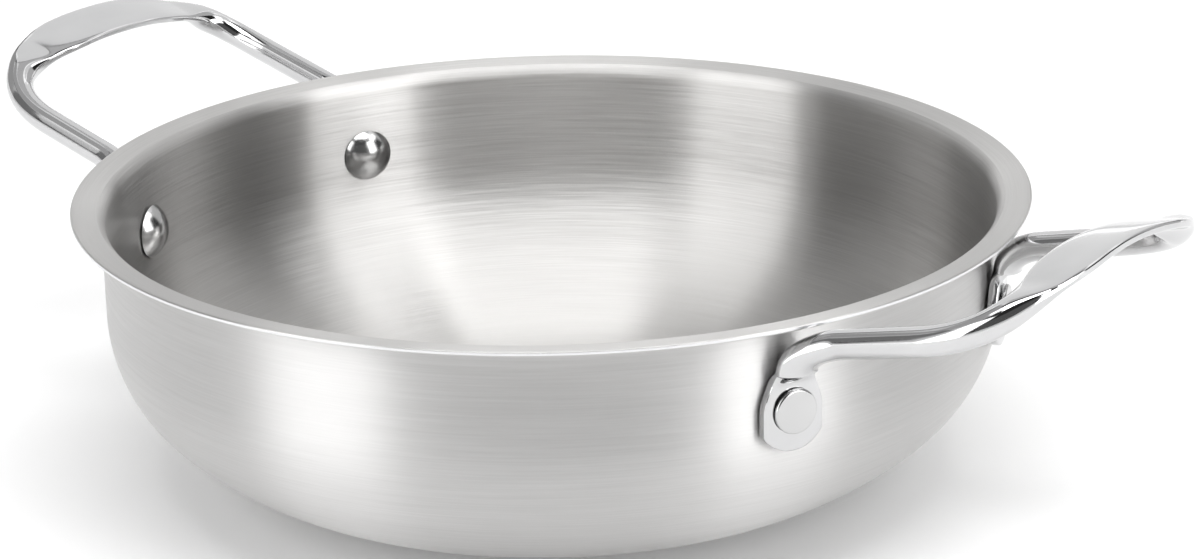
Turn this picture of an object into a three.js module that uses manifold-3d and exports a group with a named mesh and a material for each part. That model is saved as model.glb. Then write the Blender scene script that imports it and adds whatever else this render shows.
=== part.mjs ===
// Ramen pot: a shallow bowl of bonded three-layer sheet with a flared rim and two riveted loop handles.
// Millimetres, +Z up. The origin is the centre of the base, and the handles lie along +X and -X.
import * as THREE from 'three';
import { mergeVertices } from 'three/addons/utils/BufferGeometryUtils.js';
import Module from 'manifold-3d';

const wasm = await Module();
wasm.setup();

// Bowl
const rimRadius = 120;
const flangeWidth = 7.3; // from the outer face of the wall to the rim's edge
const potHeight = 71;
const upperCornerRadius = 36.5; // outer face, just below the straight wall
const lowerCornerRadius = 63.5; // outer face, running into the flat base
const upperCornerTurn = THREE.MathUtils.degToRad(46);
const rimBendRadius = 3; // underside of the bend between wall and rim
const rimBendTurn = THREE.MathUtils.degToRad(59); // from the wall to the crease where the flat rim starts
const rimRise = THREE.MathUtils.degToRad(7); // the rim's edge is a little higher than its bend
const outerPlyThickness = 0.3;
const corePlyThickness = 0.6;
const innerPlyThickness = 0.3;
const bondGap = 0.02; // between two bonded plies

// Handles: one rod, beaten flat into a strap at the grip and into a plate at each foot
const rodDiameter = 7;
const strapWidth = 16; // at the middle of the grip
const strapThickness = 2.4;
const strapTilt = THREE.MathUtils.degToRad(12.3); // the strap's outer edge is the higher one
const strapHalfLength = 25; // fully flat this far to each side of the middle
const shoulderLength = 11; // from the flat strap to the round rod
const widestHalfLength = 14.5; // full width this far to each side of the middle
const taperLength = 26; // from the full width down to the rod's
const gripReach = 40.7; // from the rim's edge out to the strap's centre line
const gripLift = 17.9; // from the rim's top up to the strap's centre line
const gripPull = 27; // how far the strap runs before it turns to the leg
const legDrop = 3.8; // from the rim's top down to the rod where it leaves the bend
const legRise = THREE.MathUtils.degToRad(14.3);
const legLength = 20.9;
const legPull = 27.2; // how far the leg runs on before it turns to the strap
const bendReach = 11.2; // from the foot's rod out to the straight leg
const bendPull = 4.5;
const footWidth = 15.6;
const neckWidth = 10.4; // where the foot runs into the bend
const footThickness = 2.6;
const footBelowRivet = 9.8;
const headMargin = 0.6; // flat plate left above the rivet's outer head
const footStep = 3.6; // from the flat plate up to the full rod
const footEndRadius = 9.5; // the foot's lower end is an arc
const footEndHeight = 3.4; // from the arc's lowest point up to the plate's corners
const footTip = 0.5; // from the foot's lower end up to its first section

// How square the rod's section is: 2 is an ellipse, and more is nearer to a rectangle
const rodSquareness = 2;
const strapSquareness = 4;
const plateSquareness = 4;

// Rivets
const rivetHalfSpan = 42.4; // sideways from the handle's middle line
const rivetDrop = 22; // below the rim's top
const shankDiameter = 6;
const innerHeadDiameter = 14;
const innerHeadHeight = 3.6;
const outerHeadDiameter = 10.8;
const outerHeadHeight = 0.9;
const outerHeadRounding = 0.6;

const seatGap = 0.3; // between a riveted piece and what it is seated on
const weldTolerance = 1e-5;

// Fineness of the meshes
const bowlSteps = 60;
const lowerCornerSteps = 3;
const upperCornerSteps = 3;
const rimBendSteps = 2;
const rivetSteps = 20;
const domeSteps = 4;
const ringPoints = 12;
const footEndSteps = 3;
const plateSteps = 4;
const footStepSteps = 3;
const bendSteps = 6;
const legSteps = 2;
const loopSteps = 13;

const corePlyDepth = outerPlyThickness + bondGap;
const innerPlyDepth = corePlyDepth + corePlyThickness + bondGap;
const sheetThickness = innerPlyDepth + innerPlyThickness;
const wallRadius = rimRadius - flangeWidth;
const rivetAngle = Math.asin(rivetHalfSpan / wallRadius);
const rivetHeight = potHeight - rivetDrop;

// Centres of the two corner arcs, as radius and height
const upperCentre = new THREE.Vector2(wallRadius - upperCornerRadius, 0);
const lowerCentre = new THREE.Vector2(
  upperCentre.x + (upperCornerRadius - lowerCornerRadius) * Math.cos(upperCornerTurn),
  lowerCornerRadius,
);
upperCentre.y = lowerCentre.y + (upperCornerRadius - lowerCornerRadius) * Math.sin(upperCornerTurn);

// Centre of the bend between wall and rim, set so that the rim's upper edge is at the pot's full height
const topBendRadius = rimBendRadius + sheetThickness;
const flatRimWidth = flangeWidth - rimBendRadius + topBendRadius * Math.cos(rimBendTurn);
const rimBendCentre = new THREE.Vector2(
  wallRadius + rimBendRadius,
  potHeight - topBendRadius * Math.sin(rimBendTurn) - flatRimWidth * Math.tan(rimRise),
);

const steel = { color: 0xc9c9c7, roughness: 0.32, metalness: 1 };
const aluminium = { color: 0xb4b6b8, roughness: 0.5, metalness: 1 };
const polishedSteel = { color: 0xd8d9da, roughness: 0.1, metalness: 1 };

function arcPoints(centre, radius, from, to, steps) {
  return Array.from({ length: steps + 1 }, (_, i) => {
    const angle = THREE.MathUtils.lerp(from, to, i / steps);
    return new THREE.Vector2(centre.x + radius * Math.cos(angle), centre.y + radius * Math.sin(angle));
  });
}

// The bowl's section, from the axis up to the top of the straight wall, a given depth inside its outer face
function bowlSection(depth) {
  const down = -Math.PI / 2;
  const lower = arcPoints(lowerCentre, lowerCornerRadius - depth, down, -upperCornerTurn, lowerCornerSteps);
  const upper = arcPoints(upperCentre, upperCornerRadius - depth, -upperCornerTurn, 0, upperCornerSteps);
  return [new THREE.Vector2(0, depth), ...lower, ...upper.slice(1)];
}

// The rim's section at the same depth, from the wall out to the edge
function rimSection(depth) {
  const bend = arcPoints(rimBendCentre, rimBendRadius + depth, Math.PI, Math.PI - rimBendTurn, rimBendSteps);
  const bendEnd = bend[bend.length - 1];
  const edgeHeight = bendEnd.y + (rimRadius - bendEnd.x) * Math.tan(rimRise);
  return [...bend, new THREE.Vector2(rimRadius, edgeHeight)];
}

// Radius of the bowl at a height, a given depth inside its outer face
function bowlRadiusAt(height, depth) {
  if (height >= upperCentre.y) return wallRadius - depth;
  const below = upperCentre.y - height;
  return upperCentre.x + Math.sqrt((upperCornerRadius - depth) ** 2 - below ** 2);
}

// A profile of radius and height, turned about Z
function turned(profile, steps) {
  return new THREE.LatheGeometry(profile, steps).rotateX(Math.PI / 2);
}

function toSolid(geometry) {
  const bare = geometry.clone();
  bare.deleteAttribute('normal');
  bare.deleteAttribute('uv');
  const merged = mergeVertices(bare, weldTolerance);
  const mesh = new wasm.Mesh({
    numProp: 3,
    vertProperties: new Float32Array(merged.attributes.position.array),
    triVerts: new Uint32Array(merged.index.array),
  });
  return new wasm.Manifold(mesh);
}

function toGeometry(solid) {
  const { vertProperties, triVerts } = solid.getMesh();
  const geometry = new THREE.BufferGeometry();
  geometry.setAttribute('position', new THREE.BufferAttribute(vertProperties, 3));
  geometry.setIndex(new THREE.BufferAttribute(triVerts, 1));
  geometry.computeVertexNormals();
  return geometry;
}

function piece(name, geometry, finish) {
  const mesh = new THREE.Mesh(geometry, new THREE.MeshStandardMaterial(finish));
  mesh.name = name;
  return mesh;
}

// Turns a piece made along Z, with its foot on the axis, to point outwards at an angle at the rivets' height
function aimedOutwards(geometry, angle) {
  return geometry.rotateY(Math.PI / 2).rotateZ(angle).translate(0, 0, rivetHeight);
}

function rivetHole(angle) {
  const radius = shankDiameter / 2 + seatGap;
  const length = rimRadius;
  const hole = new THREE.CylinderGeometry(radius, radius, length, rivetSteps);
  return toSolid(aimedOutwards(hole.rotateX(Math.PI / 2).translate(0, 0, length), angle));
}

const sideAngles = [0, Math.PI];
const rivetAngles = [-rivetAngle, rivetAngle];

function ply(name, outerDepth, thickness, finish) {
  const innerDepth = outerDepth + thickness;
  const outerFace = [...bowlSection(outerDepth), ...rimSection(outerDepth)];
  const innerFace = [...bowlSection(innerDepth), ...rimSection(innerDepth)];
  let solid = toSolid(turned([...outerFace, ...innerFace.reverse()], bowlSteps));
  for (const side of sideAngles) {
    for (const angle of rivetAngles) solid = solid.subtract(rivetHole(side + angle));
  }
  return piece(name, toGeometry(solid), finish);
}

function smooth(t) {
  return THREE.MathUtils.smoothstep(t, 0, 1);
}

// A station of the handle: where its section stands, which way the rod runs and which way its thickness faces
function station(centre, along, face, width, thickness, squareness) {
  return { centre, along, face, width, thickness, squareness };
}

const footOutwards = new THREE.Vector3(Math.cos(rivetAngle), Math.sin(rivetAngle), 0);
const plateInnerRadius = wallRadius + seatGap;
const plateOuterRadius = plateInnerRadius + footThickness;
const wallFall = footWidth ** 2 / (8 * wallRadius); // how far the wall falls away at the plate's sides
const plateDepth = 2 * wallFall + seatGap; // the plate is made this far into the wall, then cut to its seat
const rodFootRadius = plateInnerRadius + rodDiameter / 2;
const footBottom = rivetHeight - footBelowRivet;
const stepBottom = rivetHeight + outerHeadDiameter / 2 + headMargin;
const footTop = stepBottom + footStep;

// Evenly spaced heights from the first up to, but not including, the last
function heightsBetween(first, last, steps) {
  return Array.from({ length: steps }, (_, i) => THREE.MathUtils.lerp(first, last, i / steps));
}

function footStations() {
  const up = new THREE.Vector3(0, 0, 1);
  const towardsWall = footOutwards.clone().negate();
  const end = heightsBetween(footBottom + footTip, footBottom + footEndHeight, footEndSteps);
  const plate = heightsBetween(footBottom + footEndHeight, stepBottom, plateSteps);
  const step = heightsBetween(stepBottom, footTop, footStepSteps);
  return [...end, ...plate, ...step].map((height) => {
    const fromEnd = Math.min(height - footBottom, footEndRadius);
    const endWidth = 2 * Math.sqrt(fromEnd * (2 * footEndRadius - fromEnd));
    const narrowing = smooth((height - rivetHeight) / (footTop - rivetHeight));
    const thickening = smooth((height - stepBottom) / footStep);
    const innerRadius = plateInnerRadius - plateDepth * (1 - thickening);
    const outerRadius = THREE.MathUtils.lerp(plateOuterRadius, plateInnerRadius + rodDiameter, thickening);
    const centre = footOutwards.clone().multiplyScalar((innerRadius + outerRadius) / 2).setZ(height);
    const width = Math.min(THREE.MathUtils.lerp(footWidth, neckWidth, narrowing), endWidth);
    const squareness = THREE.MathUtils.lerp(plateSquareness, rodSquareness, thickening);
    return station(centre, up, towardsWall, width, outerRadius - innerRadius, squareness);
  });
}

const legDirection = new THREE.Vector3(Math.cos(legRise), 0, Math.sin(legRise));
const footRod = footOutwards.clone().multiplyScalar(rodFootRadius).setZ(footTop);
const legStart = new THREE.Vector3(footRod.x + bendReach, rivetHalfSpan, potHeight - legDrop);
const legEnd = legStart.clone().addScaledVector(legDirection, legLength);
const gripMiddle = new THREE.Vector3(rimRadius + gripReach, 0, potHeight + gripLift);
const strapUp = new THREE.Vector3(-Math.sin(strapTilt), 0, Math.cos(strapTilt));

function rodStations(curve, steps, faceAt, startWidth = rodDiameter) {
  return Array.from({ length: steps }, (_, i) => {
    const t = i / steps;
    const centre = curve.getPoint(t);
    const flatness = smooth((strapHalfLength + shoulderLength - centre.y) / shoulderLength);
    const broadness = smooth((widestHalfLength + taperLength - centre.y) / taperLength);
    const rodWidth = THREE.MathUtils.lerp(startWidth, rodDiameter, smooth(t));
    const width = THREE.MathUtils.lerp(rodWidth, strapWidth, broadness);
    const thickness = THREE.MathUtils.lerp(rodDiameter, strapThickness, flatness);
    const squareness = THREE.MathUtils.lerp(rodSquareness, strapSquareness, flatness);
    return station(centre, curve.getTangent(t), faceAt(t), width, thickness, squareness);
  });
}

function bendStations() {
  const bend = new THREE.CubicBezierCurve3(
    footRod,
    footRod.clone().setZ(footTop + bendPull),
    legStart.clone().addScaledVector(legDirection, -bendPull),
    legStart,
  );
  const towardsWall = footOutwards.clone().negate();
  return rodStations(bend, bendSteps, (t) => towardsWall.clone().lerp(strapUp, t), neckWidth);
}

function legStations() {
  return rodStations(new THREE.LineCurve3(legStart, legEnd), legSteps, () => strapUp);
}

function loopStations() {
  const loop = new THREE.CubicBezierCurve3(
    legEnd,
    legEnd.clone().addScaledVector(legDirection, legPull),
    gripMiddle.clone().setY(gripPull),
    gripMiddle,
  );
  const along = new THREE.Vector3(0, -1, 0);
  const middle = station(gripMiddle, along, strapUp, strapWidth, strapThickness, strapSquareness);
  return [...rodStations(loop, loopSteps, () => strapUp), middle];
}

// The same station on the other half of the loop, where the rod runs back to its second foot
function mirrored({ centre, along, face, width, thickness, squareness }) {
  const flip = new THREE.Vector3(1, -1, 1);
  const otherCentre = centre.clone().multiply(flip);
  const back = along.clone().multiply(flip).negate();
  return station(otherCentre, back, face.clone().multiply(flip), width, thickness, squareness);
}

// The ring of points round one station's rounded section
function ring({ centre, along, face, width, thickness, squareness }) {
  const up = face.clone().addScaledVector(along, -face.dot(along)).normalize();
  const side = along.clone().cross(up).normalize();
  const rounded = (value) => Math.sign(value) * Math.abs(value) ** (2 / squareness);
  return Array.from({ length: ringPoints }, (_, i) => {
    const angle = (2 * Math.PI * (i + 0.5)) / ringPoints;
    const across = (width / 2) * rounded(Math.cos(angle));
    const through = (thickness / 2) * rounded(Math.sin(angle));
    return centre.clone().addScaledVector(side, across).addScaledVector(up, through);
  });
}

function lofted(stations) {
  const points = stations.flatMap(ring);
  const last = (stations.length - 1) * ringPoints;
  const firstCap = points.length;
  points.push(stations[0].centre, stations[stations.length - 1].centre);
  const faces = [];
  for (let i = 0; i < ringPoints; i += 1) {
    const next = (i + 1) % ringPoints;
    for (let start = 0; start < last; start += ringPoints) {
      const above = start + ringPoints;
      faces.push(start + i, above + i, start + next, start + next, above + i, above + next);
    }
    faces.push(firstCap, i, next);
    faces.push(firstCap + 1, last + next, last + i);
  }
  return new THREE.BufferGeometry().setFromPoints(points).setIndex(faces);
}

// The space that the bowl takes up, with the seat's gap round it
function bowlSeat() {
  const section = bowlSection(-seatGap);
  const wallTop = new THREE.Vector2(wallRadius + seatGap, rimBendCentre.y);
  return toSolid(turned([...section, wallTop, new THREE.Vector2(0, rimBendCentre.y)], bowlSteps));
}

function handle(name) {
  const half = [...footStations(), ...bendStations(), ...legStations(), ...loopStations()];
  const otherHalf = half.slice(0, -1).reverse().map(mirrored);
  let solid = toSolid(lofted([...half, ...otherHalf])).subtract(bowlSeat());
  for (const angle of rivetAngles) solid = solid.subtract(rivetHole(angle));
  return piece(name, toGeometry(solid), polishedSteel);
}

// One rivet along its own axis, measured from the pot's: domed head inside the bowl, flat head on the foot
function rivet(name, angle) {
  const headRadius = innerHeadDiameter / 2;
  const nearestWall = bowlRadiusAt(rivetHeight - headRadius, sheetThickness);
  const innerSeat = Math.sqrt(nearestWall ** 2 - headRadius ** 2) - seatGap;
  const outerSeat = plateOuterRadius + seatGap;
  const domeRadius = (headRadius ** 2 + innerHeadHeight ** 2) / (2 * innerHeadHeight);
  const domeCentre = new THREE.Vector2(0, innerSeat - innerHeadHeight + domeRadius);
  const domeHalfAngle = Math.asin(headRadius / domeRadius);
  const dome = arcPoints(domeCentre, domeRadius, -Math.PI / 2, -Math.PI / 2 + domeHalfAngle, domeSteps);
  const shankRadius = shankDiameter / 2;
  const tailRadius = outerHeadDiameter / 2;
  const tailTop = outerSeat + outerHeadHeight;
  const profile = [
    ...dome,
    new THREE.Vector2(shankRadius, innerSeat),
    new THREE.Vector2(shankRadius, outerSeat),
    new THREE.Vector2(tailRadius, outerSeat),
    new THREE.Vector2(tailRadius, tailTop - outerHeadRounding),
    new THREE.Vector2(tailRadius - outerHeadRounding, tailTop),
    new THREE.Vector2(0, tailTop),
  ];
  return piece(name, aimedOutwards(turned(profile, rivetSteps), angle), polishedSteel);
}

function handleSide(name, angle) {
  const side = new THREE.Group();
  side.rotation.z = angle;
  side.add(handle(`${name}_handle`));
  side.add(rivet(`${name}_handle_rivet_a`, -rivetAngle), rivet(`${name}_handle_rivet_b`, rivetAngle));
  return side;
}

const pot = new THREE.Group();
pot.add(ply('outer_ply', 0, outerPlyThickness, steel));
pot.add(ply('core_ply', corePlyDepth, corePlyThickness, aluminium));
pot.add(ply('inner_ply', innerPlyDepth, innerPlyThickness, steel));
pot.add(handleSide('right', sideAngles[0]), handleSide('left', sideAngles[1]));

export default pot;
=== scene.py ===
"""Looks of a ramen pot: a turned bowl of clad sheet, two beaten rod handles and four rivets."""
import math
from collections import namedtuple

import bmesh
import bpy
from mathutils import Matrix, Vector


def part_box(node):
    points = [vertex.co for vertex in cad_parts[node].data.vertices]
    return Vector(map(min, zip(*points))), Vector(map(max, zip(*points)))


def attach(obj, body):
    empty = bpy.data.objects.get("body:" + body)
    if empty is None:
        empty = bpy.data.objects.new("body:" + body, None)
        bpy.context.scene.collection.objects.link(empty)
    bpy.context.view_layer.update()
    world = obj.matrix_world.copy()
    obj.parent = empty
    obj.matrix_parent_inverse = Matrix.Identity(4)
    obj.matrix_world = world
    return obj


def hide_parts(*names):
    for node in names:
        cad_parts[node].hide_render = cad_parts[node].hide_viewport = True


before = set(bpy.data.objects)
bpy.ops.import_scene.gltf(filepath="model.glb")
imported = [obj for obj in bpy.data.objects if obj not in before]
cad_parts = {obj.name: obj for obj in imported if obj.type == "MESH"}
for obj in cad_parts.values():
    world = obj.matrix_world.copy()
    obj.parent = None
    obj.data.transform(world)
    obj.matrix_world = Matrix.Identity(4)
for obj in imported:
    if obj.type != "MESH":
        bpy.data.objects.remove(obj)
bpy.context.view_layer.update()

MM = 0.001

# Sizes read from the frame
rim_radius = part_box("outer_ply")[1].x
pot_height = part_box("inner_ply")[1].z
rivet_low, rivet_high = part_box("right_handle_rivet_b")
rivet_middle = (rivet_low + rivet_high) / 2
rivet_angle = math.atan2(rivet_middle.y, rivet_middle.x)
rivet_height = rivet_middle.z

# Bowl
rim_width = 7.3 * MM
upper_corner_radius = 36.5 * MM
lower_corner_radius = 63.5 * MM
upper_corner_turn = math.radians(46)
rim_bend_radius = 3 * MM
rim_bend_turn = math.radians(59)  # from the wall to the crease where the flat rim starts
rim_rise = math.radians(7)
skin_thickness = 0.3 * MM
core_thickness = 0.6 * MM
bond_gap = 0.02 * MM
edge_rounding = 0.45 * MM
core_depth = skin_thickness + bond_gap
inner_depth = core_depth + core_thickness + bond_gap
sheet_thickness = inner_depth + skin_thickness
wall_radius = rim_radius - rim_width

# Handles
rod_diameter = 7 * MM
strap_width = 16 * MM
strap_thickness = 2.4 * MM
strap_tilt = math.radians(12.3)
strap_half_length = 25 * MM
shoulder_length = 11 * MM
widest_half_length = 14.5 * MM
taper_length = 26 * MM
grip_reach = 40.7 * MM
grip_lift = 17.9 * MM
grip_pull = 27 * MM
leg_drop = 3.8 * MM
leg_rise = math.radians(14.3)
leg_length = 20.9 * MM
leg_pull = 27.2 * MM
bend_reach = 11.2 * MM
bend_pull = 4.5 * MM
foot_width = 15.6 * MM
neck_width = 10.4 * MM
foot_thickness = 2.6 * MM
foot_below_rivet = 9.8 * MM
foot_end_radius = 9.5 * MM
foot_end_height = 3.6 * MM
foot_tip = 0.02 * MM
foot_step = 3.6 * MM
head_margin = 0.6 * MM
foot_edge = 0.5 * MM
foot_edge_cut = 0.8  # share of the foot's edge that is taken off its outer face
seat_gap = 0.3 * MM

# Squareness of the handle's sections: 2 is round, and more is nearer a rectangle
rod_squareness = 2
strap_squareness = 4.5
plate_squareness = 9

# Rivets
shank_radius = 3 * MM
inner_head_radius = 7 * MM
inner_head_height = 3.6 * MM
outer_head_radius = 5.4 * MM
outer_head_height = 0.9 * MM
outer_head_rounding = 0.6 * MM
hole_radius = shank_radius + seat_gap

# Fineness of the meshes
bowl_turns = 256
base_steps = 8
corner_steps = 24
wall_steps = 8
rim_steps = 4
edge_steps = 6
ring_points = 36
foot_end_steps = 14
plate_steps = 16
foot_step_steps = 14
bend_steps = 30
leg_steps = 8
loop_steps = 90
rivet_turns = 64
dome_steps = 16
head_steps = 8
floor_turns = 96
merge_distance = 0.004 * MM
sharp_angle = math.radians(20)

# Camera, placed about the middle of the rim
view_turn = math.radians(49.5)
view_height = math.radians(17.8)
view_distance = 7 * rim_radius
lens_pan = math.radians(0.796)
lens_tilt = math.radians(-1.666)
lens_roll = math.radians(-1.287)
sensor_width = 36  # in millimetres, as the lens is
lens_length = 100.08

# Studio, in metres and shares of white
floor_radius = 5
floor_white = 0.84
glow_start = 0.8
glow_full = 2.4
near_glow = 0.1
far_glow = 0.6
sweep_radius = 2
sweep_turn = math.radians(45)
light_distance = 2
room_white = 0.02

# Lights: turn is to the right of the camera and height above the floor, in degrees
Softbox = namedtuple("Softbox", "name turn height width tall brightness")
SOFTBOXES = [
    Softbox("left_softbox", turn=-57, height=26, width=1.1, tall=1.9, brightness=2.0),
    Softbox("left_softbox_edge", turn=-61, height=26, width=1.4, tall=1.9, brightness=0.7),
    Softbox("left_low_softbox", turn=-57, height=8, width=1.1, tall=0.5, brightness=0.7),
    Softbox("right_softbox", turn=55, height=24, width=1.1, tall=1.8, brightness=2.0),
    Softbox("right_softbox_core", turn=47, height=24, width=0.56, tall=1.8, brightness=1.2),
    Softbox("right_low_softbox", turn=55, height=8, width=1.1, tall=0.5, brightness=1.4),
    Softbox("top_softbox", turn=5, height=79, width=1.5, tall=0.75, brightness=5.6),
    Softbox("top_wide_softbox", turn=0, height=85, width=2.2, tall=0.6, brightness=2.0),
    Softbox("front_panel", turn=0, height=22, width=2.5, tall=1.5, brightness=0.09),
    Softbox("right_high_softbox", turn=112, height=56, width=2.0, tall=0.75, brightness=0.9),
    Softbox("right_side_softbox", turn=85, height=50, width=1.0, tall=0.6, brightness=1.9),
    Softbox("left_high_softbox", turn=-108, height=56, width=1.7, tall=0.75, brightness=0.45),
    Softbox("back_high_softbox", turn=180, height=66, width=1.5, tall=0.6, brightness=0.6),
    Softbox("back_panel", turn=180, height=30, width=1.6, tall=2.0, brightness=0.95),
    Softbox("back_right_panel", turn=130, height=24, width=1.6, tall=1.6, brightness=0.6),
    Softbox("back_left_panel", turn=-130, height=24, width=1.6, tall=1.6, brightness=0.4),
    Softbox("left_side_panel", turn=-95, height=24, width=0.8, tall=1.6, brightness=0.2),
]


class Wire:
    """An output of a node. A formula on wires adds the Math nodes that work it out."""

    def __init__(self, nodes, socket):
        self.nodes = nodes
        self.socket = socket

    def output(self, name):
        """Another output of the same node."""
        return Wire(self.nodes, self.socket.node.outputs[name])

    def maths(self, operation, *values):
        return self.nodes.add("ShaderNodeMath", {"operation": operation}, dict(enumerate(values)))

    def __add__(self, other):
        return self.maths("ADD", self, other)

    def __radd__(self, other):
        return self.maths("ADD", other, self)

    def __sub__(self, other):
        return self.maths("SUBTRACT", self, other)

    def __rsub__(self, other):
        return self.maths("SUBTRACT", other, self)

    def __mul__(self, other):
        return self.maths("MULTIPLY", self, other)

    def __rmul__(self, other):
        return self.maths("MULTIPLY", other, self)

    def __truediv__(self, other):
        return self.maths("DIVIDE", self, other)

    def __rtruediv__(self, other):
        return self.maths("DIVIDE", other, self)

    def __pow__(self, other):
        return self.maths("POWER", self, other)

    def __rpow__(self, other):
        return self.maths("POWER", other, self)

    def __mod__(self, other):
        return self.maths("MODULO", self, other)

    def __rmod__(self, other):
        return self.maths("MODULO", other, self)


class Nodes:
    """Writes one node tree."""

    def __init__(self, tree):
        self.tree = tree

    def add(self, kind, settings=None, sockets=None, output=0):
        """A new node with its settings, then the values or wires of its sockets. Gives one output."""
        node = self.tree.nodes.new(kind)
        for name, value in (settings or {}).items():
            setattr(node, name, value)
        for key, value in (sockets or {}).items():
            self.feed(node.inputs[key], value)
        return Wire(self, node.outputs[output]) if node.outputs else None

    def feed(self, socket, value):
        if isinstance(value, Wire):
            self.tree.links.new(value.socket, socket)
        else:
            socket.default_value = value


# Materials

def new_finish(name):
    material = bpy.data.materials.new(name)
    material.use_nodes = True
    material.node_tree.nodes.clear()
    return material, Nodes(material.node_tree)


def principled(nodes, **sockets):
    """A Principled shader, metal unless it is told otherwise."""
    named = {name.replace("_", " "): value for name, value in sockets.items()}
    return nodes.add("ShaderNodeBsdfPrincipled", None, {"Metallic": 1.0, **named})


def finish_with(nodes, shader):
    nodes.add("ShaderNodeOutputMaterial", None, {"Surface": shader})


def mixed_shader(nodes, share, first, second):
    return nodes.add("ShaderNodeMixShader", None, {0: share, 1: first, 2: second})


def mixed(nodes, factor, first, second):
    return nodes.add("ShaderNodeMix", {"data_type": "RGBA"}, {0: factor, 6: first, 7: second}, output=2)


def noise(nodes, vector, detail, roughness=0.5):
    sockets = {"Vector": vector, "Scale": 1.0, "Detail": detail, "Roughness": roughness}
    return nodes.add("ShaderNodeTexNoise", None, sockets)


def about_zero(pattern):
    """A noise pattern, which has a mean of a half, moved to a mean of nothing."""
    return pattern - 0.5


def combined(nodes, x, y, z):
    return nodes.add("ShaderNodeCombineXYZ", None, {0: x, 1: y, 2: z})


def vector_maths(nodes, operation, *vectors):
    return nodes.add("ShaderNodeVectorMath", {"operation": operation}, dict(enumerate(vectors)))


def scaled(nodes, vector, amount):
    return nodes.add("ShaderNodeVectorMath", {"operation": "SCALE"}, {"Vector": vector, "Scale": amount})


def place_on_object(nodes):
    """The object's own X, Y and Z, in metres."""
    place = nodes.add("ShaderNodeTexCoord", None, None, output="Object")
    split = nodes.add("ShaderNodeSeparateXYZ", None, {"Vector": place})
    return [split.output(axis) for axis in "XYZ"]


def stretched(nodes, place, *scales):
    """A place as a vector, with a scale for each axis."""
    return combined(nodes, *(wire * scale for wire, scale in zip(place, scales)))


def grey(level):
    return level, level, level, 1


def brushed_steel(name, dark, light, roughness, directionality, groove, hairline):
    """Steel brushed while it turned: grooves run round the pot, and their flanks spread light across them."""
    hairline_share, band_share, cloud_share = 0.6, 0.25, 0.15
    unevenness = 0.2
    flat_share = 1 / 3
    cloud_scale = 22.0
    least_radius = 1e-6
    quarter_turn = 0.25
    material, nodes = new_finish(name)
    place = place_on_object(nodes)
    x, y, z = place
    radius = (x * x + y * y) ** 0.5 + least_radius
    along = radius + z
    cos_turn = x / radius
    sin_turn = y / radius

    def streaks(length, gap):
        """Lines round the pot, of a length in radians and a gap in metres."""
        reach = 1 / length
        lines = combined(nodes, cos_turn * reach, sin_turn * reach, along / gap)
        return noise(nodes, lines, detail=3.0, roughness=0.6)

    hairlines = streaks(length=0.25, gap=0.5 * MM)
    bands = streaks(length=0.5, gap=3 * MM)
    cloud = noise(nodes, stretched(nodes, place, cloud_scale, cloud_scale, cloud_scale), detail=3.0)
    lightness = hairlines * hairline_share + bands * band_share + cloud * cloud_share
    colour = mixed(nodes, lightness, dark, light)
    rough = roughness * (1 + about_zero(bands) * unevenness + about_zero(cloud) * unevenness)
    normal = nodes.add("ShaderNodeNewGeometry", None, None, output="Normal")
    around = combined(nodes, 0 - sin_turn, cos_turn, 0.0)
    across = vector_maths(nodes, "CROSS_PRODUCT", around, normal)

    def flank(slope):
        """The part of the grooves that leans across them by a slope."""
        lean = scaled(nodes, across, about_zero(hairlines) * hairline + slope)
        facing = vector_maths(nodes, "NORMALIZE", vector_maths(nodes, "ADD", normal, lean))
        return principled(nodes, Base_Color=colour, Roughness=rough, Normal=facing,
                          Anisotropic=directionality, Anisotropic_Rotation=quarter_turn)

    flanks = mixed_shader(nodes, 0.5, flank(groove), flank(-groove))
    finish_with(nodes, mixed_shader(nodes, flat_share, flanks, flank(0.0)))
    return material


def polished_steel(name, dark, light, roughness):
    """Tumbled and buffed steel: a mirror with faint waves, hazy patches and hairline scratches."""
    wave_scale = 120.0
    haze_scale = 60.0
    scratch_scales = 500.0, 2600.0, 2600.0
    haze_roughness = 0.08
    scratch_roughness = 0.05
    scratch_height = 0.02
    wave_depth = 0.05 * MM
    wave_strength = 0.25
    material, nodes = new_finish(name)
    place = place_on_object(nodes)
    waves = noise(nodes, stretched(nodes, place, wave_scale, wave_scale, wave_scale), detail=2.0)
    haze = noise(nodes, stretched(nodes, place, haze_scale, haze_scale, haze_scale), detail=4.0)
    scratches = noise(nodes, stretched(nodes, place, *scratch_scales), detail=3.0)
    colour = mixed(nodes, haze, dark, light)
    rough = roughness + about_zero(haze) * haze_roughness + about_zero(scratches) * scratch_roughness
    height = waves + scratches * scratch_height
    bump = nodes.add("ShaderNodeBump", None,
                     {"Strength": wave_strength, "Distance": wave_depth, "Height": height})
    finish_with(nodes, principled(nodes, Base_Color=colour, Roughness=rough, Normal=bump))
    return material


def core_aluminium(name, dark, light, roughness):
    """The cut edge of the core, with the fine lines that trimming on a lathe leaves."""
    line_scales = 90.0, 90.0, 9000.0
    line_roughness = 0.2
    material, nodes = new_finish(name)
    lines = noise(nodes, stretched(nodes, place_on_object(nodes), *line_scales), detail=2.0)
    colour = mixed(nodes, lines, dark, light)
    rough = roughness + about_zero(lines) * line_roughness
    finish_with(nodes, principled(nodes, Base_Color=colour, Roughness=rough))
    return material


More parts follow.
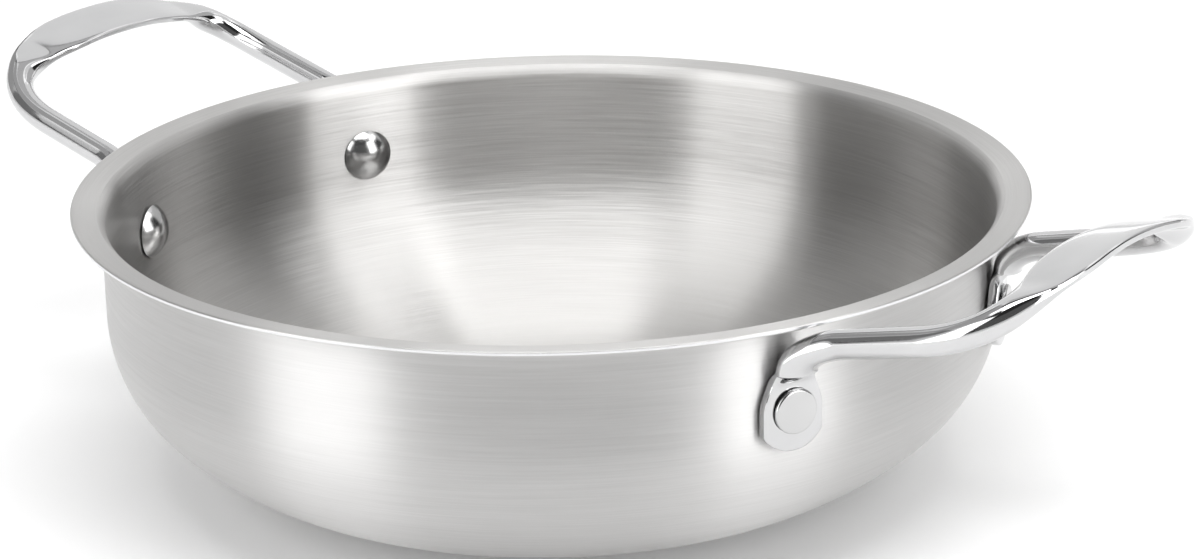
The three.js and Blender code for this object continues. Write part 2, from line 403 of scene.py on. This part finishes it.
def pale_floor(name):
    """A matt floor that glows further out, so that it ends in white."""
    material, nodes = new_finish(name)
    x, y, _ = place_on_object(nodes)
    distance = (x * x + y * y) ** 0.5
    far = nodes.add("ShaderNodeMapRange", None,
                    {"Value": distance, "From Min": glow_start, "From Max": glow_full})
    glow = mixed(nodes, far, grey(near_glow), grey(far_glow))
    finish_with(nodes, principled(nodes, Base_Color=grey(floor_white), Metallic=0.0, Roughness=1.0,
                                  Specular_IOR_Level=0.0, Emission_Color=glow, Emission_Strength=1.0))
    return material


# Geometry Nodes trees

RIVET_SOCKETS = {"Rivet angle": "NodeSocketFloat", "Rivet height": "NodeSocketFloat"}


def add_input(tree, name, kind):
    return tree.interface.new_socket(name, in_out="INPUT", socket_type=kind).identifier


def new_tree(name, inputs):
    """A tree with a geometry in and out and the named inputs: its nodes, and the inputs' wires and keys."""
    tree = bpy.data.node_groups.new(name, "GeometryNodeTree")
    add_input(tree, "Geometry", "NodeSocketGeometry")
    keys = {label: add_input(tree, label, kind) for label, kind in inputs.items()}
    tree.interface.new_socket("Geometry", in_out="OUTPUT", socket_type="NodeSocketGeometry")
    nodes = Nodes(tree)
    group_input = nodes.add("NodeGroupInput")
    wires = {label: group_input.output(label) for label in ("Geometry", *inputs)}
    return nodes, wires, keys


def turned(nodes, profile, turns):
    """Sweeps a profile in the XZ plane, given as edges, round the Z axis."""
    path_radius = 1 * MM
    flat = nodes.add("GeometryNodeTransform", None, {"Geometry": profile, "Rotation": (math.pi / 2, 0, 0)})
    section = nodes.add("GeometryNodeMeshToCurve", None, {"Mesh": flat})
    shifted = nodes.add("GeometryNodeTransform", None,
                        {"Geometry": section, "Translation": (-path_radius, 0, 0)})
    path = nodes.add("GeometryNodeCurvePrimitiveCircle", None, {"Resolution": turns, "Radius": path_radius})
    swept = nodes.add("GeometryNodeCurveToMesh", None, {"Curve": path, "Profile Curve": shifted})
    return nodes.add("GeometryNodeMergeByDistance", None, {"Geometry": swept, "Distance": merge_distance})


def rivet_places(nodes, angle, height):
    """A point on the pot's axis for each rivet, and the turn that points Z outwards through it."""
    sides, ends = 2, 2
    index = nodes.add("GeometryNodeInputIndex")
    end = index % ends
    side = (index - end) / ends
    turn = (end * 2 - 1) * angle + side * math.pi
    points = nodes.add("GeometryNodePoints", None,
                       {"Count": sides * ends, "Position": combined(nodes, 0.0, 0.0, height)})
    facing = nodes.add("FunctionNodeEulerToRotation", None,
                       {"Euler": combined(nodes, 0.0, math.pi / 2, turn)})
    return points, facing


def at_rivets(nodes, shape, angle, height):
    """Copies of a shape at every rivet."""
    points, facing = rivet_places(nodes, angle, height)
    placed = nodes.add("GeometryNodeInstanceOnPoints", None,
                       {"Points": points, "Instance": shape, "Rotation": facing})
    return nodes.add("GeometryNodeRealizeInstances", None, {"Geometry": placed})


def drilled(nodes, shape, radius, angle, height):
    """A shape with a hole for every rivet. The drill starts half way between the pot's axis and its rim."""
    start = rim_radius / 2
    length = 2 * rim_radius
    middle = start + length / 2
    drill = nodes.add("GeometryNodeMeshCylinder", None,
                      {"Vertices": rivet_turns, "Radius": radius, "Depth": length})
    moved = nodes.add("GeometryNodeTransform", None, {"Geometry": drill, "Translation": (0, 0, middle)})
    holes = at_rivets(nodes, moved, angle, height)
    return nodes.add("GeometryNodeMeshBoolean", {"operation": "DIFFERENCE", "solver": "EXACT"},
                     {"Mesh 1": shape, "Mesh 2": holes})


def close_tree(nodes, shape, material):
    """Smooth faces with sharp edges kept, realised, with its finish, to the tree's output."""
    angle = nodes.add("GeometryNodeInputMeshEdgeAngle")
    sharp = nodes.add("FunctionNodeCompare", {"operation": "GREATER_THAN"}, {0: angle, 1: sharp_angle})
    soft = nodes.add("GeometryNodeSetShadeSmooth", {"domain": "FACE"},
                     {"Geometry": shape, "Shade Smooth": True})
    creased = nodes.add("GeometryNodeSetShadeSmooth", {"domain": "EDGE"},
                        {"Geometry": soft, "Selection": sharp, "Shade Smooth": False})
    real = nodes.add("GeometryNodeRealizeInstances", None, {"Geometry": creased})
    done = nodes.add("GeometryNodeSetMaterial", None, {"Geometry": real, "Material": material})
    nodes.add("NodeGroupOutput", None, {"Geometry": done})


def sheet_tree():
    nodes, wires, keys = new_tree("turned_sheet", {
        "Turns": "NodeSocketInt", "Hole radius": "NodeSocketFloat", **RIVET_SOCKETS,
        "Finish": "NodeSocketMaterial"})
    bowl = turned(nodes, wires["Geometry"], wires["Turns"])
    holed = drilled(nodes, bowl, wires["Hole radius"], wires["Rivet angle"], wires["Rivet height"])
    close_tree(nodes, holed, wires["Finish"])
    return nodes.tree, keys


def handle_tree():
    nodes, wires, keys = new_tree("drilled_handle", {
        "Hole radius": "NodeSocketFloat", **RIVET_SOCKETS, "Finish": "NodeSocketMaterial"})
    loop = wires["Geometry"]
    holed = drilled(nodes, loop, wires["Hole radius"], wires["Rivet angle"], wires["Rivet height"])
    close_tree(nodes, holed, wires["Finish"])
    return nodes.tree, keys


def rivets_tree():
    nodes, wires, keys = new_tree("rivets", {
        "Turns": "NodeSocketInt", **RIVET_SOCKETS, "Finish": "NodeSocketMaterial"})
    rivet = turned(nodes, wires["Geometry"], wires["Turns"])
    placed = at_rivets(nodes, rivet, wires["Rivet angle"], wires["Rivet height"])
    close_tree(nodes, placed, wires["Finish"])
    return nodes.tree, keys


# Meshes

def new_object(name, mesh):
    piece = bpy.data.objects.new(name, mesh)
    bpy.context.scene.collection.objects.link(piece)
    return piece


def grown(name, mesh, tree_and_keys, **inputs):
    """A plain mesh piece: what a Geometry Nodes tree makes of a mesh with these inputs."""
    tree, keys = tree_and_keys
    piece = new_object(name, mesh)
    modifier = piece.modifiers.new("shape", "NODES")
    modifier.node_group = tree
    for label, value in inputs.items():
        modifier[keys[label.replace("_", " ")]] = value
    made = bpy.data.meshes.new_from_object(piece.evaluated_get(bpy.context.evaluated_depsgraph_get()))
    made.name = name
    piece.modifiers.clear()
    piece.data = made
    return piece


def profile_mesh(name, points):
    """A section as a chain of edges in the XZ plane, from points of radius and height."""
    mesh = bpy.data.meshes.new(name)
    chain = [(i, i + 1) for i in range(len(points) - 1)]
    mesh.from_pydata([(radius, 0, height) for radius, height in points], chain, [])
    return mesh


def join_rings(shape, rings):
    """Faces between each ring of points and the next."""
    for first, second in zip(rings, rings[1:]):
        for i in range(len(first)):
            shape.faces.new((first[i - 1], second[i - 1], second[i], first[i]))


def finished_mesh(name, shape):
    """The mesh of a shape, with its faces turned one way round."""
    bmesh.ops.recalc_face_normals(shape, faces=shape.faces)
    mesh = bpy.data.meshes.new(name)
    shape.to_mesh(mesh)
    shape.free()
    return mesh


def arc(centre, radius, start, end, steps):
    """Points on an arc round a centre of radius and height."""
    turns = [start + (end - start) * i / steps for i in range(steps + 1)]
    return [(centre[0] + radius * math.cos(a), centre[1] + radius * math.sin(a)) for a in turns]


def between(first, second, share):
    return first + (second - first) * share


def smooth(share):
    """A share from 0 to 1 that starts and ends gently."""
    share = min(max(share, 0), 1)
    return share * share * (3 - 2 * share)


# Bowl's section: a flat base, two tangent arcs, a straight wall, a bend and a flat rim
upper_x = wall_radius - upper_corner_radius
lower_x = upper_x + (upper_corner_radius - lower_corner_radius) * math.cos(upper_corner_turn)
upper_z = lower_corner_radius + (upper_corner_radius - lower_corner_radius) * math.sin(upper_corner_turn)
top_bend_radius = rim_bend_radius + sheet_thickness
flat_rim_width = rim_width - rim_bend_radius + top_bend_radius * math.cos(rim_bend_turn)
flat_rim_lift = flat_rim_width * math.tan(rim_rise)
wall_top = pot_height - top_bend_radius * math.sin(rim_bend_turn) - flat_rim_lift
rim_bend_centre = (wall_radius + rim_bend_radius, wall_top)


def edge_setback(depth):
    """How far the rim's cut edge is rounded back at a depth in the sheet."""
    from_face = min(depth, sheet_thickness - depth)
    short = max(0, 1 - from_face / edge_rounding)
    return edge_rounding * (1 - math.sqrt(1 - short * short))


def flat_rim(crease, depth):
    """Points of the flat rim, from its crease out to its cut edge."""
    width = rim_radius - edge_setback(depth) - crease[0]
    reaches = [width * i / rim_steps for i in range(1, rim_steps + 1)]
    return [(crease[0] + reach, crease[1] + reach * math.tan(rim_rise)) for reach in reaches]


def sheet_face(depth):
    """The bowl's section at a depth below its outer face, from the axis to the rim's edge."""
    base = [(lower_x * i / base_steps, depth) for i in range(base_steps)]
    lower = arc((lower_x, lower_corner_radius), lower_corner_radius - depth,
                -math.pi / 2, -upper_corner_turn, corner_steps)
    upper = arc((upper_x, upper_z), upper_corner_radius - depth, -upper_corner_turn, 0, corner_steps)
    wall = [(wall_radius - depth, between(upper_z, wall_top, i / wall_steps)) for i in range(1, wall_steps)]
    bend = arc(rim_bend_centre, rim_bend_radius + depth,
               math.pi, math.pi - rim_bend_turn, corner_steps // 2)
    return [*base, *lower, *upper[1:], *wall, *bend, *flat_rim(bend[-1], depth)]


def sheet_section(depth, thickness):
    """The closed section of one layer, up its outer face, round the cut edge and back down its inner face."""
    depths = [depth + thickness * i / edge_steps for i in range(1, edge_steps)]
    cut = [sheet_face(d)[-1] for d in depths]
    return [*sheet_face(depth), *cut, *reversed(sheet_face(depth + thickness))]


# Handle's places: a foot on the wall, a bend, a leg and half of the grip
foot_outwards = Vector((math.cos(rivet_angle), math.sin(rivet_angle), 0))
plate_inner = wall_radius + seat_gap
plate_outer = plate_inner + foot_thickness
foot_bottom = rivet_height - foot_below_rivet
step_bottom = rivet_height + outer_head_radius + head_margin
foot_top = step_bottom + foot_step
foot_rod = foot_outwards * (plate_inner + rod_diameter / 2) + Vector((0, 0, foot_top))
leg_direction = Vector((math.cos(leg_rise), 0, math.sin(leg_rise)))
rivet_half_span = wall_radius * math.sin(rivet_angle)
leg_start = Vector((foot_rod.x + bend_reach, rivet_half_span, pot_height - leg_drop))
leg_end = leg_start + leg_direction * leg_length
grip_middle = Vector((rim_radius + grip_reach, 0, pot_height + grip_lift))
strap_up = Vector((-math.sin(strap_tilt), 0, math.cos(strap_tilt)))

Station = namedtuple("Station", "centre along face width thickness squareness bend")


def foot_station(height):
    """A level section through the foot: rounded end, flat plate, hollow step and the rod above it."""
    above = height - foot_bottom
    end_width = 2 * math.sqrt(max(0, 2 * foot_end_radius * above - above * above))
    narrowing = smooth((height - rivet_height) / (foot_top - rivet_height))
    width = between(foot_width, neck_width, narrowing)
    if above < foot_end_radius:
        width = min(width, end_width)
    step = min(max((height - step_bottom) / foot_step, 0), 1)
    thickening = 1 - math.sqrt(1 - step * step)
    outer = between(plate_outer, plate_inner + rod_diameter, thickening)
    shrink = 1 - math.sqrt(1 - max(0, 1 - above / foot_edge) ** 2)
    outer -= foot_edge * shrink * foot_edge_cut
    thickness = outer - plate_inner
    centre = foot_outwards * ((plate_inner + outer) / 2) + Vector((0, 0, height))
    squareness = between(plate_squareness, rod_squareness, smooth(step))
    return Station(centre, Vector((0, 0, 1)), -foot_outwards, width, thickness, squareness, 1 - step)


def foot_stations():
    """Sections up the foot, closer together at its rounded end and at the top of its step."""
    plate_bottom = foot_bottom + foot_end_height
    end_shares = [(i / foot_end_steps) ** 2 for i in range(foot_end_steps)]
    end = [foot_bottom + between(foot_tip, foot_end_height, share) for share in end_shares]
    plate = [between(plate_bottom, step_bottom, i / plate_steps) for i in range(plate_steps)]
    step_shares = [math.sin(math.pi / 2 * i / foot_step_steps) for i in range(foot_step_steps)]
    step = [step_bottom + foot_step * share for share in step_shares]
    return [foot_station(height) for height in [*end, *plate, *step]]


def rod_stations(points, steps, face_at, start_width=rod_diameter):
    """Sections along a curve of four control points, where the rod turns into the strap at the shoulder."""
    a, b, c, d = points
    stations = []
    for i in range(steps):
        t = i / steps
        s = 1 - t
        centre = a * s ** 3 + b * (3 * s * s * t) + c * (3 * s * t * t) + d * t ** 3
        along = ((b - a) * (s * s) + (c - b) * (2 * s * t) + (d - c) * (t * t)).normalized()
        flatness = smooth((strap_half_length + shoulder_length - centre.y) / shoulder_length)
        broadness = smooth((widest_half_length + taper_length - centre.y) / taper_length)
        rod_width = between(start_width, rod_diameter, smooth(t))
        width = between(rod_width, strap_width, broadness)
        thickness = between(rod_diameter, strap_thickness, flatness)
        squareness = between(rod_squareness, strap_squareness, flatness)
        stations.append(Station(centre, along, face_at(t), width, thickness, squareness, 0))
    return stations


def half_handle():
    """Sections from one foot to the middle of the grip."""
    bend = [foot_rod, foot_rod + Vector((0, 0, bend_pull)), leg_start - leg_direction * bend_pull, leg_start]
    leg = [between(leg_start, leg_end, i / 3) for i in range(4)]
    grip_side = Vector((grip_middle.x, grip_pull, grip_middle.z))
    loop = [leg_end, leg_end + leg_direction * leg_pull, grip_side, grip_middle]
    middle = Station(grip_middle, Vector((0, -1, 0)), strap_up,
                     strap_width, strap_thickness, strap_squareness, 0)
    return [
        *foot_stations(),
        *rod_stations(bend, bend_steps, lambda t: (-foot_outwards).lerp(strap_up, t), neck_width),
        *rod_stations(leg, leg_steps, lambda t: strap_up),
        *rod_stations(loop, loop_steps, lambda t: strap_up),
        middle,
    ]


def mirrored(station):
    """The same section on the other half of the handle."""
    flip = Matrix.Diagonal((1, -1, 1))
    centre, along, face = (flip @ vector for vector in (station.centre, station.along, station.face))
    return station._replace(centre=centre, along=-along, face=face)


def ring(station):
    """Points round one section of the handle, bent to the wall where it is a plate."""
    up = (station.face - station.along * station.face.dot(station.along)).normalized()
    side = station.along.cross(up).normalized()
    power = 2 / station.squareness
    points = []
    for i in range(ring_points):
        angle = 2 * math.pi * (i + 0.5) / ring_points
        across = station.width / 2 * math.copysign(abs(math.cos(angle)) ** power, math.cos(angle))
        through = station.thickness / 2 * math.copysign(abs(math.sin(angle)) ** power, math.sin(angle))
        through += station.bend * across * across / (2 * wall_radius)
        points.append(station.centre + side * across + up * through)
    return points


def handle_mesh(name, turn):
    """A whole handle, turned about the pot's axis to its side."""
    half = half_handle()
    stations = [*half, *(mirrored(station) for station in reversed(half[:-1]))]
    shape = bmesh.new()
    rings = [[shape.verts.new(point) for point in ring(station)] for station in stations]
    join_rings(shape, rings)
    shape.faces.new(rings[0])
    shape.faces.new(list(reversed(rings[-1])))
    shape.transform(Matrix.Rotation(turn, 4, "Z"))
    return finished_mesh(name, shape)


def rivet_section():
    """Half of a rivet's section, measured from the pot's axis: low head outside, shank, domed head inside."""
    nearest_wall = wall_radius - sheet_thickness
    inner_seat = math.sqrt(nearest_wall ** 2 - inner_head_radius ** 2) - seat_gap
    outer_seat = plate_outer + seat_gap
    top = outer_seat + outer_head_height
    rounding_centre = (outer_head_radius - outer_head_rounding, top - outer_head_rounding)
    rounding = arc(rounding_centre, outer_head_rounding, math.pi / 2, 0, head_steps)
    dome_radius = (inner_head_radius ** 2 + inner_head_height ** 2) / (2 * inner_head_height)
    dome_centre = (0, inner_seat - inner_head_height + dome_radius)
    half_angle = math.asin(inner_head_radius / dome_radius)
    dome = arc(dome_centre, dome_radius, half_angle - math.pi / 2, -math.pi / 2, dome_steps)
    return [(0, top), *rounding, (outer_head_radius, outer_seat), (shank_radius, outer_seat),
            (shank_radius, inner_seat), *dome]


# Pieces

rivet_values = {"Rivet_angle": rivet_angle, "Rivet_height": rivet_height}


def place_piece(piece, slot, *nodes):
    """Fixes a piece to the pot in place of its CAD nodes."""
    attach(piece, "root")
    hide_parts(*nodes)


def add_sheet(name, tree, depth, thickness, finish):
    section = profile_mesh(name + "_section", sheet_section(depth, thickness))
    return grown(name, section, tree, Turns=bowl_turns, Hole_radius=hole_radius, Finish=finish,
                 **rivet_values)


def add_bowl():
    """The three bonded layers of the sheet that the bowl is made of."""
    outside = brushed_steel("satin_steel_outside", (0.54, 0.535, 0.53, 1), (0.74, 0.735, 0.73, 1),
                            roughness=0.42, directionality=0.92, groove=0.3, hairline=0.22)
    core = core_aluminium("aluminium_core", (0.7, 0.7, 0.71, 1), (0.86, 0.86, 0.87, 1), roughness=0.3)
    inside = brushed_steel("brushed_steel_inside", (0.49, 0.483, 0.474, 1), (0.7, 0.693, 0.684, 1),
                           roughness=0.3, directionality=1.0, groove=0.36, hairline=0.42)
    tree = sheet_tree()
    outer_sheet = add_sheet("outer_sheet", tree, 0, skin_thickness, outside)
    core_sheet = add_sheet("core_sheet", tree, core_depth, core_thickness, core)
    inner_sheet = add_sheet("inner_sheet", tree, inner_depth, skin_thickness, inside)
    place_piece(outer_sheet, "satin_steel_outside", "outer_ply")
    place_piece(core_sheet, "aluminium_core", "core_ply")
    place_piece(inner_sheet, "brushed_steel_inside", "inner_ply")


def add_handles():
    buffed = polished_steel("polished_steel_handle", (0.55, 0.55, 0.555, 1), (0.68, 0.68, 0.685, 1),
                            roughness=0.1)
    tree = handle_tree()
    for name, turn in (("right_handle", 0), ("left_handle", math.pi)):
        loop = grown(name + "_loop", handle_mesh(name, turn), tree, Hole_radius=hole_radius, Finish=buffed,
                     **rivet_values)
        place_piece(loop, "polished_steel_handle", name)


def add_rivets():
    buffed = polished_steel("polished_steel_rivet", grey(0.52), grey(0.66), roughness=0.2)
    section = profile_mesh("rivet_section", rivet_section())
    rivets = grown("rivets", section, rivets_tree(), Turns=rivet_turns, Finish=buffed, **rivet_values)
    rivet_nodes = [f"{side}_handle_rivet_{end}" for side in ("right", "left") for end in "ab"]
    place_piece(rivets, "polished_steel_rivet", *rivet_nodes)


# Studio

def direction(turn, lift):
    """Away from the pot, at a turn about Z from +X and a lift above the floor."""
    return Vector((math.cos(turn) * math.cos(lift), math.sin(turn) * math.cos(lift), math.sin(lift)))


def add_camera():
    away = direction(-view_turn, view_height)
    right = Vector((math.sin(view_turn), math.cos(view_turn), 0))
    up = right.cross(-away)
    forward = (-away + right * math.tan(lens_pan) + up * math.tan(lens_tilt)).normalized()
    level = forward.cross(up).normalized()
    upright = level.cross(forward)
    x_axis = level * math.cos(lens_roll) + upright * math.sin(lens_roll)
    y_axis = upright * math.cos(lens_roll) - level * math.sin(lens_roll)
    camera = new_object("camera", bpy.data.cameras.new("camera"))
    camera.data.sensor_width = sensor_width
    camera.data.lens = lens_length
    camera.matrix_world = Matrix((x_axis, y_axis, -forward)).transposed().to_4x4()
    camera.location = Vector((0, 0, pot_height)) + away * view_distance
    bpy.context.scene.camera = camera


def add_floor():
    """A level floor whose far edge sweeps up."""
    level = -math.pi / 2
    section = arc((floor_radius, sweep_radius), sweep_radius, level, level + sweep_turn, corner_steps)
    turns = [2 * math.pi * i / floor_turns for i in range(floor_turns)]
    shape = bmesh.new()
    rings = []
    for radius, height in section:
        around = [(radius * math.cos(turn), radius * math.sin(turn), height) for turn in turns]
        rings.append([shape.verts.new(point) for point in around])
    shape.faces.new(rings[0])
    join_rings(shape, rings)
    mesh = finished_mesh("floor", shape)
    mesh.materials.append(pale_floor("pale_floor"))
    new_object("floor", mesh)


def add_softbox(box):
    """A soft rectangular light that faces the pot and that the camera doesn't see."""
    away = direction(math.radians(box.turn) - view_turn, math.radians(box.height))
    light = bpy.data.lights.new(box.name, "AREA")
    light.shape = "RECTANGLE"
    light.size = box.width
    light.size_y = box.tall
    light.energy = box.brightness * math.pi * box.width * box.tall
    lamp = new_object(box.name, light)
    lamp.visible_camera = False
    lamp.location = away * light_distance
    lamp.rotation_euler = away.to_track_quat("Z", "Y").to_euler()


def add_world():
    world = bpy.data.worlds.new("studio")
    world.use_nodes = True
    world.node_tree.nodes["Background"].inputs["Color"].default_value = grey(room_white)
    bpy.context.scene.world = world


add_bowl()
add_handles()
add_rivets()
add_camera()
add_floor()
for softbox in SOFTBOXES:
    add_softbox(softbox)
add_world()
bpy.context.scene.view_settings.view_transform = "Standard"
